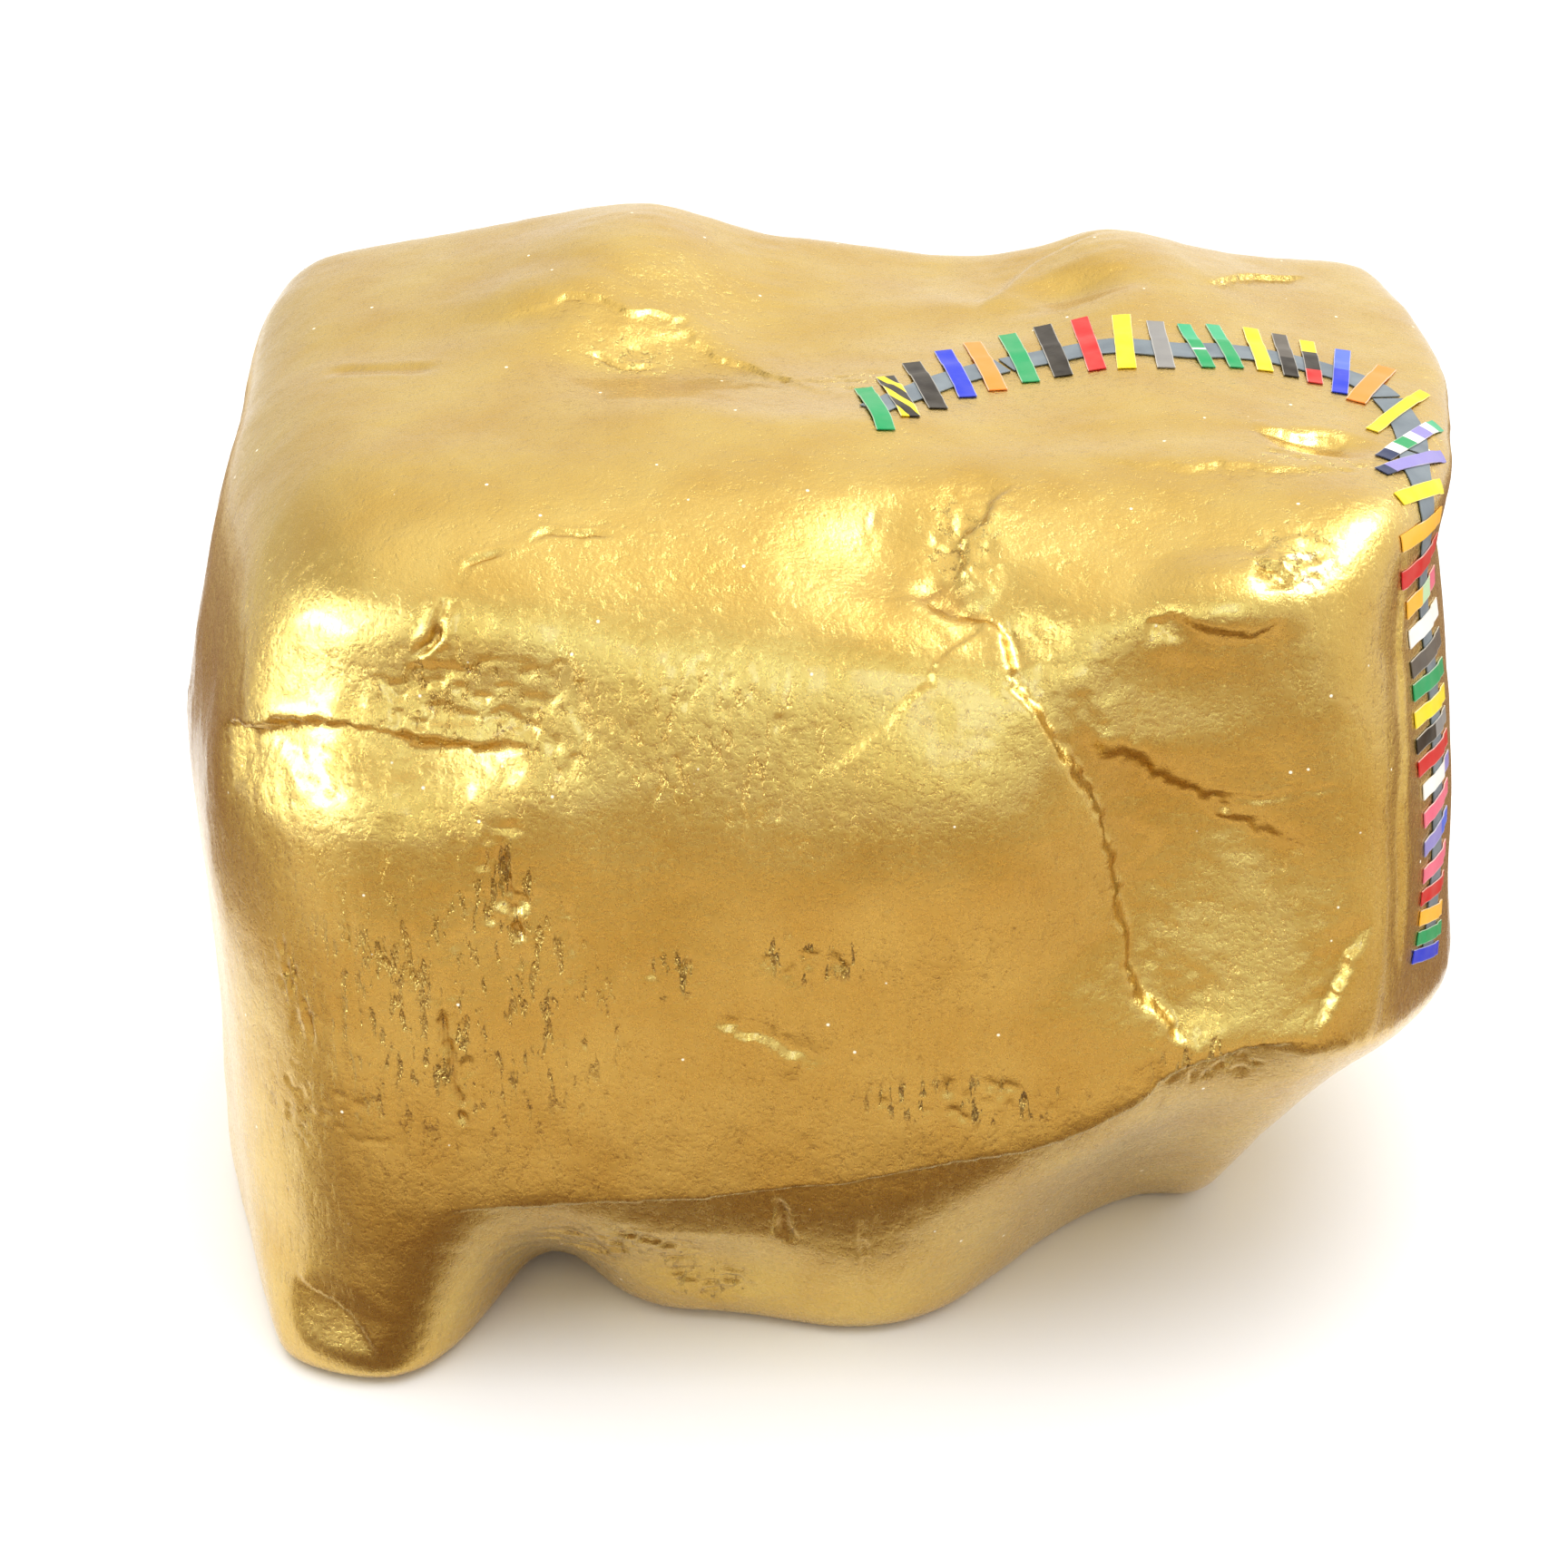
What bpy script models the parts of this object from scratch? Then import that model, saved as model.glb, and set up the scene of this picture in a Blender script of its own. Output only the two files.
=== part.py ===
"""A hand-carved block painted gold, with a line of grey tape crossed by short coloured tape strips.

The block is one solid. The grey tape is four lengths laid end to end over its top and down its right
side, and each coloured strip is a thin slice of tape stuck across it. Nothing moves.

Metres, +Z up, front towards -Y. The origin is the middle of the block's box, at its resting face.
"""

import math

import bmesh
import bpy
import numpy as np
from mathutils import Vector
from mathutils.bvhtree import BVHTree

# ---------------------------------------------------------------------------------------------------
# Driving dimensions
# ---------------------------------------------------------------------------------------------------

BLOCK_WIDTH = 0.240
BLOCK_DEPTH = 0.157
BLOCK_HEIGHT = 0.176

SOFT_RADIUS = 0.028       # rounding of the worn edges at the front
TIGHT_RADIUS = 0.012      # rounding of the edges at the right-hand side
BACK_RADIUS = 0.016       # rounding of the edges at the back
BASE_RADIUS = 0.006       # rounding around the sawn resting face

BLOCK_CUTS = 25           # grid cuts along each edge of the block
EDGE_CROWDING = 0.45      # 0 spaces the grid evenly, 1 crowds it all into the edges
CREASE_ROW = -0.48        # the grid height, -1 to 1, that follows the lip of the overhang

TAPE_WIDTH = 0.0058       # the grey tape
TAPE_THICKNESS = 0.00025
TAPE_JOINT = 0.0008       # space between two lengths of grey tape
TAPE_PITCH = 0.0038       # grid spacing along the grey tape

STRIP_THICKNESS = 0.00025
STRIP_RAMP = 0.0020       # where a strip comes down from the grey tape to the block
STRIP_LANDING = 0.0015    # the least length of a strip that lies on the block at each end
CLEARANCE = 0.0005        # space under the tape, and between the tape and a strip on it
ROUTE_STEP = 0.001        # how finely the tape's route is followed over the block
ROUTE_LENGTH = 0.226983   # the places along the route are for a route this long, and stretch with it


# ---------------------------------------------------------------------------------------------------
# The block's outlines, as shares of its width (-0.5 to 0.5), depth (-0.5 to 0.5) and height (0 to 1)
# ---------------------------------------------------------------------------------------------------

# height: how far each side stands from the middle
LEFT_SIDE = ((0.0, 0.500), (0.22, 0.494), (0.45, 0.494), (0.60, 0.496), (0.75, 0.482), (0.88, 0.463),
             (1.0, 0.468))
RIGHT_SIDE = ((0.0, 0.405), (0.14, 0.450), (0.26, 0.495), (0.38, 0.500), (0.50, 0.499), (0.62, 0.493),
              (0.75, 0.482), (0.88, 0.468), (1.0, 0.490))

# depth: how much narrower each side is towards the front and towards the back
LEFT_PLAN = ((-0.5, 0.82), (-0.3, 0.90), (-0.05, 0.99), (0.25, 1.0), (0.5, 0.96))
RIGHT_PLAN = ((-0.5, 0.755), (-0.43, 0.815), (-0.25, 0.925), (-0.1, 0.965), (0.08, 1.0), (0.25, 1.0),
              (0.5, 0.97))

# height: where the front and the back faces stand
FRONT_FACE = ((0.0, -0.500), (0.25, -0.500), (0.5, -0.490), (0.75, -0.463), (0.9, -0.418), (1.0, -0.35))
BACK_FACE = ((0.0, 0.40), (0.3, 0.47), (0.6, 0.50), (0.85, 0.50), (1.0, 0.49))

# width: where the foot of the front stands on the ground, and how high the lip above it runs
FRONT_FOOT = ((-0.50, -0.42), (-0.42, -0.46), (-0.36, -0.50), (-0.32, -0.507), (-0.28, -0.46),
              (-0.230, -0.31), (-0.212, -0.25), (-0.19, -0.295), (-0.14, -0.365), (-0.06, -0.385),
              (0.0, -0.415), (0.08, -0.395), (0.14, -0.31), (0.20, -0.215), (0.26, -0.155),
              (0.33, -0.14), (0.41, 0.08), (0.50, 0.25))
OVERHANG_LIP = ((-0.50, 0.20), (-0.30, 0.20), (-0.206, 0.230), (-0.096, 0.238), (0.014, 0.256),
                (0.091, 0.279), (0.142, 0.294), (0.185, 0.317), (0.217, 0.344), (0.242, 0.380),
                (0.261, 0.397), (0.293, 0.41), (0.343, 0.41), (0.40, 0.40), (0.50, 0.36))

# width: height of the top along its back and along its front
TOP_BACK = ((-0.5, 0.925), (-0.42, 0.938), (-0.33, 0.958), (-0.24, 0.980), (-0.12, 1.0), (-0.06, 0.970),
            (0.03, 0.960), (0.12, 0.940), (0.18, 0.945), (0.235, 0.970), (0.29, 0.952), (0.35, 0.935),
            (0.42, 0.925), (0.5, 0.925))
TOP_FRONT = ((-0.5, 0.875), (-0.3, 0.905), (-0.1, 0.905), (0.1, 0.90), (0.3, 0.905), (0.5, 0.885))

# Hollows and swells worked into the block: middle (as shares), reach and push in metres
WORKED = (
    # the arch between the left foot and the lobe
    ((-0.215, -0.30, 0.00), (0.016, 0.040, 0.024), (0.0, 0.0, 0.005)),
    # the upright front corner at the right leans in towards the top
    ((0.42, -0.46, 0.93), (0.040, 0.048, 0.096), (-0.0015, 0.0, 0.0)),
    # the lower corner of the overhang at the right
    ((0.46, -0.28, 0.32), (0.024, 0.044, 0.028), (0.003, 0.0, -0.001)),
    # top: the mound at the left, the hollow in front of it and the saddle to its right
    ((-0.17, 0.28, 1.00), (0.027, 0.024, 0.024), (0.0, 0.0, 0.003)),
    ((-0.14, 0.00, 0.97), (0.024, 0.019, 0.024), (0.0, 0.0, -0.0035)),
    ((-0.03, 0.12, 0.96), (0.037, 0.037, 0.032), (0.0, 0.0, -0.005)),
    ((-0.02, -0.13, 0.95), (0.048, 0.016, 0.024), (0.0, 0.0, 0.002)),
    # top: the raised shelf at the right, with a hollow at its near end
    ((0.24, 0.30, 0.96), (0.040, 0.032, 0.032), (0.0, 0.0, 0.002)),
    ((0.20, 0.24, 0.96), (0.0175, 0.0095, 0.024), (0.0, 0.0, -0.003)),
    ((0.05, 0.34, 0.96), (0.040, 0.028, 0.032), (0.0, 0.0, -0.003)),
    # front: the worn shoulder at the left and the torn patch below it
    ((-0.24, -0.40, 0.88), (0.048, 0.032, 0.024), (0.0, -0.0025, 0.0015)),
    ((-0.27, -0.46, 0.75), (0.040, 0.032, 0.0175), (0.0, 0.0035, 0.0)),
    # front: the scoop under the top edge, the notch beside it and the nose at the right
    ((0.045, -0.39, 0.88), (0.019, 0.024, 0.0145), (0.0, 0.0035, -0.003)),
    ((0.10, -0.43, 0.84), (0.0095, 0.024, 0.0145), (0.0, 0.004, 0.0)),
    ((0.25, -0.43, 0.84), (0.032, 0.024, 0.013), (0.0, -0.003, 0.0)),
    # front: the swell in the middle and the long smooth hollow at the right
    ((0.06, -0.46, 0.66), (0.044, 0.032, 0.048), (0.0, -0.0025, 0.0)),
    ((0.26, -0.48, 0.58), (0.040, 0.032, 0.048), (0.0, 0.005, 0.0)),
    # left side and back: broad flats left by the carving
    ((-0.50, 0.05, 0.30), (0.024, 0.048, 0.048), (0.004, 0.0, 0.0)),
    ((-0.50, 0.10, 0.75), (0.024, 0.048, 0.040), (0.003, 0.0, 0.0)),
    ((-0.10, 0.50, 0.45), (0.072, 0.032, 0.056), (0.0, -0.0065, 0.0)),
    ((0.26, 0.50, 0.70), (0.048, 0.032, 0.048), (0.0, -0.005, 0.0)),
    ((0.20, 0.48, 0.20), (0.056, 0.032, 0.040), (0.0, 0.005, 0.0)),
    ((-0.34, 0.48, 0.12), (0.040, 0.040, 0.048), (0.0, -0.0055, 0.0)),
    ((0.46, 0.26, 0.20), (0.032, 0.040, 0.040), (-0.0065, 0.0, 0.0)),
)


# The route of the grey tape over the block, as shares of its box: from the middle of the top, along the
# top to the right-hand corner, over the edge and down the right side
TAPE_ROUTE = (
    (0.020, -0.125, 0.918), (0.056, -0.052, 0.914), (0.101, 0.016, 0.915), (0.155, 0.060, 0.919),
    (0.209, 0.071, 0.930), (0.263, 0.058, 0.930), (0.313, 0.074, 0.922), (0.358, 0.062, 0.914),
    (0.400, 0.022, 0.907), (0.416, -0.050, 0.900), (0.416, -0.130, 0.895), (0.408, -0.215, 0.885),
    (0.407, -0.255, 0.850), (0.412, -0.262, 0.810), (0.418, -0.267, 0.760), (0.423, -0.280, 0.704),
    (0.428, -0.298, 0.640), (0.432, -0.314, 0.570), (0.434, -0.328, 0.500), (0.431, -0.338, 0.465),
    (0.427, -0.352, 0.432),
)

# Where each length of grey tape starts and ends, in metres along the route
TAPE_LENGTHS = (
    ("grey_tape_top_left", 0.0045, 0.038),
    ("grey_tape_top", 0.038, 0.112),
    ("grey_tape_corner", 0.112, 0.134),
    ("grey_tape_side", 0.134, 0.228),
)

# The strips in order along the route. In millimetres: the distance along the route, how far the strip's
# middle sits to the back of the tape's middle, its length and its width. Last, its lean in degrees.
STRIPS = (
    ("green", 5.5, 1.0, 21.0, 3.3, 44.0),
    ("hazard", 12.5, 1.5, 20.0, 3.4, 40.0),
    ("black", 20.0, 1.5, 22.5, 3.4, 36.0),
    ("blue", 27.8, 2.0, 21.5, 3.3, 29.0),
    ("orange", 34.4, 2.0, 22.5, 3.4, 22.0),
    ("green", 41.4, 2.5, 23.0, 3.3, 14.0),
    ("black", 47.8, 2.5, 23.0, 3.4, 6.0),
    ("red", 54.2, 2.0, 22.0, 3.3, -1.0),
    ("yellow", 60.4, 1.5, 21.5, 3.4, -6.0),
    ("grey", 67.0, 1.5, 19.0, 3.2, -5.0),
    ("green", 73.8, 2.0, 17.0, 2.6, 4.0),
    ("green", 79.3, 2.0, 18.0, 2.7, 2.0),
    ("yellow", 85.3, 2.5, 18.5, 3.0, -6.0),
    ("black", 90.2, 2.5, 18.5, 2.8, -13.0),
    ("signal", 94.8, 2.0, 19.5, 2.8, -18.0),
    ("blue", 100.3, 1.5, 21.0, 2.9, -23.0),
    ("orange", 106.6, 1.0, 19.0, 3.6, -31.0),
    ("yellow", 117.3, 0.5, 24.0, 2.4, -48.0),
    ("flag", 128.8, 0.0, 18.5, 3.2, -58.0),
    ("lilac", 137.6, 0.0, 15.5, 3.0, -50.0),
    ("yellow", 146.0, -1.0, 16.0, 3.0, -30.0),
    ("amber", 152.2, -1.5, 20.5, 3.0, -12.0),
    ("red", 157.7, -1.0, 21.5, 3.1, 1.0),
    ("signal", 163.4, 0.0, 21.5, 3.1, 4.0),
    ("white", 168.8, 0.0, 21.0, 3.1, 2.0),
    ("black", 173.8, -0.5, 21.0, 3.0, -2.0),
    ("green", 178.3, -1.0, 20.5, 2.9, 0.0),
    ("yellow", 182.8, -1.5, 20.5, 2.9, -1.0),
    ("grey", 186.9, -1.5, 20.0, 2.7, -3.0),
    ("red", 191.0, -1.0, 20.0, 2.8, -2.0),
    ("white", 195.4, 0.5, 18.5, 2.8, -3.0),
    ("pink", 200.2, 0.0, 17.0, 2.8, -4.0),
    ("blue", 205.3, 0.0, 16.5, 2.8, -4.0),
    ("pink", 210.8, 0.0, 16.0, 2.8, -1.0),
    ("red", 215.5, -0.5, 15.5, 2.7, 0.0),
    ("amber", 220.0, 0.0, 15.5, 2.7, 2.0),
    ("green", 223.6, 0.5, 15.5, 2.5, -2.0),
    ("blue", 226.9, -0.5, 15.0, 2.5, -2.0),
)


def curve(points):
    """A smooth curve through points given as (place, value), as a function of the place."""
    place, value = (np.array(side, dtype=float) for side in zip(*points))
    slope = np.gradient(value, place)

    def at(where):
        where = np.clip(where, place[0], place[-1])
        left = np.clip(np.searchsorted(place, where, side="right") - 1, 0, len(place) - 2)
        span = place[left + 1] - place[left]
        part = (where - place[left]) / span
        rest = 1.0 - part
        bend = span * part * rest * (rest * slope[left] - part * slope[left + 1])
        ease = part * part * (3.0 - 2.0 * part)
        return value[left] * (1.0 - ease) + value[left + 1] * ease + bend

    return at


def mix(first, second, share):
    return first + (second - first) * share


def ease(share):
    """From 0 to 1 with a level start and a level end."""
    share = np.clip(share, 0.0, 1.0)
    return share * share * (3.0 - 2.0 * share)


# ---------------------------------------------------------------------------------------------------
# The block
# ---------------------------------------------------------------------------------------------------

def crowd(grid):
    """Moves evenly spaced grid lines, -1 to 1, towards the edges."""
    return mix(grid, np.sin(grid * math.pi / 2.0), EDGE_CROWDING)


def round_edges(grid):
    """Puts the grid of a cube, -1 to 1, on a box of the block's size with rounded edges."""
    half = np.array((BLOCK_WIDTH, BLOCK_DEPTH, BLOCK_HEIGHT)) / 2.0
    place = grid * half
    radius = mix(SOFT_RADIUS, BACK_RADIUS, ease(grid[:, 1] / 0.8))
    radius = mix(radius, TIGHT_RADIUS, ease((grid[:, 0] - 0.55) / 0.4))
    radius = mix(radius, BASE_RADIUS, ease((-0.55 - grid[:, 2]) / 0.4))[:, None]
    core = np.clip(place, radius - half, half - radius)
    outward = place - core
    reach = np.linalg.norm(outward, axis=1)[:, None]
    return core + outward * (radius / reach)


def shape_block(grid):
    """The outlines give the block its leaning sides, its overhanging front and its uneven top."""
    size = np.array((BLOCK_WIDTH, BLOCK_DEPTH, BLOCK_HEIGHT))
    across, back, level = (round_edges(grid) / size).T
    level = level * 2.0
    plan = np.where(across < 0.0, curve(LEFT_PLAN)(back), curve(RIGHT_PLAN)(back))
    lip = curve(OVERHANG_LIP)(across * plan)
    below = lip * (level + 1.0) / (CREASE_ROW + 1.0)
    above = mix(lip, 1.0, (level - CREASE_ROW) / (1.0 - CREASE_ROW))
    height = np.where(level < CREASE_ROW, below, above)

    side = np.where(across < 0.0, curve(LEFT_SIDE)(height), curve(RIGHT_SIDE)(height))
    x = across * 2.0 * side * plan
    face = curve(FRONT_FACE)(height)
    front = mix(curve(FRONT_FOOT)(x), face, np.clip(height / lip, 0.0, 1.0))
    y = mix(front, curve(BACK_FACE)(height), back + 0.5)
    roof = mix(curve(TOP_FRONT)(x), curve(TOP_BACK)(x), ease(back + 0.5))
    z = height * mix(1.0, roof, height)
    return np.stack((x, y, z), axis=1) * size


def work_surface(place):
    """Pushes the surface around each worked spot, most at its middle and nothing at its reach."""
    size = np.array((BLOCK_WIDTH, BLOCK_DEPTH, BLOCK_HEIGHT))
    for middle, reach, push in WORKED:
        away = np.linalg.norm((place - np.array(middle) * size) / np.array(reach), axis=1)
        weight = np.clip(1.0 - away * away, 0.0, 1.0) ** 2
        place = place + weight[:, None] * np.array(push)
    return place


def fit_to_size(place):
    """Stands the block on z = 0 and makes its box exactly the size asked for."""
    size = np.array((BLOCK_WIDTH, BLOCK_DEPTH, BLOCK_HEIGHT))
    low = place.min(axis=0)
    high = place.max(axis=0)
    return ((place - low) / (high - low) - (0.5, 0.5, 0.0)) * size


def make_block(collection):
    mesh = bpy.data.meshes.new("gold_block")
    cage = bmesh.new()
    bmesh.ops.create_cube(cage, size=2.0)
    bmesh.ops.subdivide_edges(cage, edges=cage.edges[:], cuts=BLOCK_CUTS, use_grid_fill=True)
    grid = np.array([vert.co[:] for vert in cage.verts])
    place = fit_to_size(work_surface(shape_block(crowd(grid))))
    for vert, point in zip(cage.verts, place):
        vert.co = point
    cage.to_mesh(mesh)
    cage.free()
    mesh.shade_smooth()
    block = bpy.data.objects.new("gold_block", mesh)
    collection.objects.link(block)
    mesh.materials.append(paint("gold_paint", "C9A45A", roughness=0.32, metallic=1.0))
    return block


# ---------------------------------------------------------------------------------------------------
# The route of the tape, and pieces laid along it
# ---------------------------------------------------------------------------------------------------

class Route:
    """The tape's path on the block: a place, a direction along and a direction outward at any distance."""

    def __init__(self, block):
        bpy.context.view_layer.update()
        self.surface = BVHTree.FromObject(block, bpy.context.evaluated_depsgraph_get())
        size = np.array((BLOCK_WIDTH, BLOCK_DEPTH, BLOCK_HEIGHT))
        stops = np.array(TAPE_ROUTE) * size
        gone = np.concatenate(((0.0,), np.cumsum(np.linalg.norm(np.diff(stops, axis=0), axis=1))))
        steps = np.linspace(0.0, gone[-1], int(gone[-1] / ROUTE_STEP))
        drawn = np.stack([curve(list(zip(gone, stops[:, axis])))(steps) for axis in range(3)], axis=1)
        hits = [self.surface.find_nearest(Vector(point)) for point in drawn]
        self.places = self.smoothed(np.array([hit[0][:] for hit in hits]), 4)
        self.outward = self.smoothed(np.array([hit[1][:] for hit in hits]), 8)
        runs = np.linalg.norm(np.diff(self.places, axis=0), axis=1)
        self.distance = np.concatenate(((0.0,), np.cumsum(runs)))
        self.stretch = self.distance[-1] / ROUTE_LENGTH

    def smoothed(self, values, reach):
        """Each value becomes the mean of its neighbours up to reach steps away."""
        padded = np.pad(values, ((reach, reach), (0, 0)), mode="edge")
        window = np.ones(2 * reach + 1) / (2 * reach + 1)
        return np.stack([np.convolve(padded[:, axis], window, "valid") for axis in range(3)], axis=1)

    def at(self, mark):
        """Place, direction along, direction across and direction outward at a mark on the route."""
        distance = mark * self.stretch

        def read(values, where):
            return Vector([np.interp(where, self.distance, values[:, axis]) for axis in range(3)])

        place = read(self.places, distance)
        along = read(self.places, distance + 0.002) - read(self.places, distance - 0.002)
        outward = read(self.outward, distance).normalized()
        along = (along - outward * along.dot(outward)).normalized()
        return place, along, outward.cross(along), outward

    def lay(self, point, outward, height):
        """Drops a point onto the block and lifts it by height."""
        return self.surface.find_nearest(point)[0] + outward * height


def laid_sheet(collection, name, rows, thickness, material):
    """A thin sheet from rows of points, each row running across it, with its outer side up."""
    mesh = bpy.data.meshes.new(name)
    sheet = bmesh.new()
    count = len(rows[0])
    bmesh.ops.create_grid(sheet, x_segments=len(rows) - 1, y_segments=count - 1, size=1.0)
    sheet.verts.ensure_lookup_table()
    points = [rows[at % len(rows)][at // len(rows)] for at in range(len(rows) * count)]
    for vert, point in zip(sheet.verts, points):
        vert.co = point
    sheet.to_mesh(mesh)
    sheet.free()
    mesh.shade_smooth()
    mesh.materials.append(material)
    piece = bpy.data.objects.new(name, mesh)
    collection.objects.link(piece)
    body = piece.modifiers.new("thickness", "SOLIDIFY")
    body.thickness = thickness
    body.offset = 1.0
    return piece


def make_tape(collection, route, name, start, end):
    """A length of the grey tape, bent along the route."""
    start = start + TAPE_JOINT / 2.0
    end = end - TAPE_JOINT / 2.0
    rows = []
    for distance in np.linspace(start, end, max(3, round((end - start) / TAPE_PITCH))):
        place, _, across, outward = route.at(distance)
        rows.append([route.lay(place + across * side, outward, CLEARANCE)
                     for side in (-TAPE_WIDTH / 2.0, 0.0, TAPE_WIDTH / 2.0)])
    laid_sheet(collection, name, rows, TAPE_THICKNESS, paint("grey_tape", "6F7A82", roughness=0.45))


def make_strip(collection, route, number, colour, distance, shift, length, width, lean):
    """A coloured strip across the tape: raised over the tape, down on the block at both its ends."""
    width = width / 1000.0
    place, along, across, outward = route.at(distance / 1000.0)
    turn = math.radians(lean)
    reach = across * math.cos(turn) + along * math.sin(turn)
    side = along * math.cos(turn) - across * math.sin(turn)
    raised = TAPE_WIDTH / 2.0 / math.cos(turn) + width / 2.0 * abs(math.tan(turn)) + CLEARANCE
    landed = raised + STRIP_RAMP
    front = max((length / 2.0 - shift) / 1000.0, landed + STRIP_LANDING)
    back = max((length / 2.0 + shift) / 1000.0, landed + STRIP_LANDING)
    high = CLEARANCE * 2.0 + TAPE_THICKNESS
    profile = ((-front, CLEARANCE), (-landed, CLEARANCE), (-raised, high), (0.0, high),
               (raised, high), (landed, CLEARANCE), (back, CLEARANCE))
    rows = []
    for step, height in profile:
        rows.append([route.lay(place + reach * step + side * edge, outward, height)
                     for edge in (width / 2.0, -width / 2.0)])
    shade, roughness = COLOURS[colour]
    material = paint("tape_" + colour, shade, roughness)
    laid_sheet(collection, f"strip_{number:02d}_{colour}", rows, STRIP_THICKNESS, material)


# ---------------------------------------------------------------------------------------------------
# Materials
# ---------------------------------------------------------------------------------------------------

# sRGB colour and roughness of each tape the strips are cut from
COLOURS = {
    "green": ("1FA667", 0.35),
    "hazard": ("E8CF20", 0.35),
    "black": ("3A2F20", 0.40),
    "blue": ("1B3FCB", 0.35),
    "orange": ("F99A45", 0.35),
    "red": ("D82B2B", 0.35),
    "yellow": ("F7DE18", 0.35),
    "grey": ("8F8D8A", 0.45),
    "amber": ("F5B52E", 0.35),
    "white": ("F2F0EA", 0.40),
    "lilac": ("8F86C8", 0.40),
    "pink": ("E86A84", 0.40),
    "flag": ("3E8F5A", 0.40),
    "signal": ("C8B040", 0.40),
}


def paint(name, colour, roughness, metallic=0.0):
    """A Principled material in one sRGB colour, made once for each name."""
    if name in bpy.data.materials:
        return bpy.data.materials[name]
    material = bpy.data.materials.new(name)
    material.use_nodes = True
    shader = material.node_tree.nodes["Principled BSDF"]
    channels = [int(colour[at:at + 2], 16) / 255.0 for at in (0, 2, 4)]
    linear = [((part + 0.055) / 1.055) ** 2.4 if part > 0.04045 else part / 12.92 for part in channels]
    shader.inputs["Base Color"].default_value = (*linear, 1.0)
    shader.inputs["Roughness"].default_value = roughness
    shader.inputs["Metallic"].default_value = metallic
    return material


def main():
    for old in list(bpy.data.objects):
        bpy.data.objects.remove(old)
    collection = bpy.data.collections.new("gold_block_with_tape_strips")
    bpy.context.scene.collection.children.link(collection)
    route = Route(make_block(collection))
    for name, start, end in TAPE_LENGTHS:
        make_tape(collection, route, name, start, end)
    for number, strip in enumerate(STRIPS, start=1):
        make_strip(collection, route, number, *strip)


main()
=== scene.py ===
"""A carved wooden block sprayed gold, with grey tape and short coloured tape strips stuck over it."""

import math

import bmesh
import bpy
import numpy as np
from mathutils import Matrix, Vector
from mathutils.bvhtree import BVHTree


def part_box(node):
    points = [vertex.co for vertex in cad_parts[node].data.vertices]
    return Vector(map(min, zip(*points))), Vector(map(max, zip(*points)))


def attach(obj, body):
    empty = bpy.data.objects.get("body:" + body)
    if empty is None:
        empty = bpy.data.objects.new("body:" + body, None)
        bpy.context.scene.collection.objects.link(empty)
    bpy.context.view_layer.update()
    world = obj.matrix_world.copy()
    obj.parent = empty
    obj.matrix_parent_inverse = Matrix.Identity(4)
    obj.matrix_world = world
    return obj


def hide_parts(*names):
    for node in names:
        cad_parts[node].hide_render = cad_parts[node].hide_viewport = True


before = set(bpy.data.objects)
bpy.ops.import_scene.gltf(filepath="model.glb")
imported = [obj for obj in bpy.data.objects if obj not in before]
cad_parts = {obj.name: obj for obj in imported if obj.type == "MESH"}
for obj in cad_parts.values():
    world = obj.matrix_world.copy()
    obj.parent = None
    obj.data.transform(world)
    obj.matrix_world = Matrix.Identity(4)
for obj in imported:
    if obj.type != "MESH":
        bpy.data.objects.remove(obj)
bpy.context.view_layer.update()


# ---------------------------------------------------------------------------------------------------
# The block. One lump of softwood, sawn flat underneath and roughed out with gouge, chisel and rasp,
# then primed and sprayed with gold metallic paint. The paint is thin, so every tool mark, split and
# torn patch of grain shows through it.
# ---------------------------------------------------------------------------------------------------

VOXEL = 0.00065           # spacing of the fine surface
STAND = 0.004             # the cut marks fade out this far above the resting face
WELD = 1e-6               # CAD vertices closer than this are one
MM = 0.001

block_low, block_high = (np.array(corner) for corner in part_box("gold_block"))
block_size = block_high - block_low


def on_block(share):
    """A place on the block from shares of its box: -0.5 to 0.5 across and back, 0 to 1 up."""
    return block_low + (np.array(share) + (0.5, 0.5, 0.0)) * block_size


def copied(node, name):
    """A new object with a welded copy of a CAD node's mesh."""
    mesh = bpy.data.meshes.new(name)
    shape = bmesh.new()
    shape.from_mesh(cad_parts[node].data)
    bmesh.ops.remove_doubles(shape, verts=shape.verts[:], dist=WELD)
    shape.to_mesh(mesh)
    shape.free()
    mesh.materials.clear()
    made = bpy.data.objects.new(name, mesh)
    bpy.context.scene.collection.objects.link(made)
    return made


def baked(made):
    """Makes an object's modifiers part of its mesh."""
    bpy.context.view_layer.update()
    evaluated = made.evaluated_get(bpy.context.evaluated_depsgraph_get())
    made.data = bpy.data.meshes.new_from_object(evaluated)
    made.modifiers.clear()


def read(mesh, what):
    """A vector for each vertex, as an array with one row to a vertex."""
    values = np.empty(len(mesh.vertices) * 3, dtype=np.float32)
    mesh.vertices.foreach_get(what, values)
    return values.reshape(-1, 3).astype(float)


def lumps(place, grain, seed):
    """Smooth random heights from -1 to 1, with the hills about one grain apart."""
    cells = 48
    field = np.random.default_rng(seed).uniform(-1.0, 1.0, (cells, cells, cells))
    spot = place / np.array(grain)
    cell = np.floor(spot).astype(int)
    part = spot - cell
    part = part * part * (3.0 - 2.0 * part)
    total = np.zeros(len(place))
    for corner in np.ndindex(2, 2, 2):
        share = np.prod(np.where(corner, part, 1.0 - part), axis=1)
        index = (cell + corner) % cells
        total += share * field[index[:, 0], index[:, 1], index[:, 2]]
    return total


def ease(share):
    """From 0 to 1 with a level start and a level end."""
    share = np.clip(share, 0.0, 1.0)
    return share * share * (3.0 - 2.0 * share)


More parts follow.
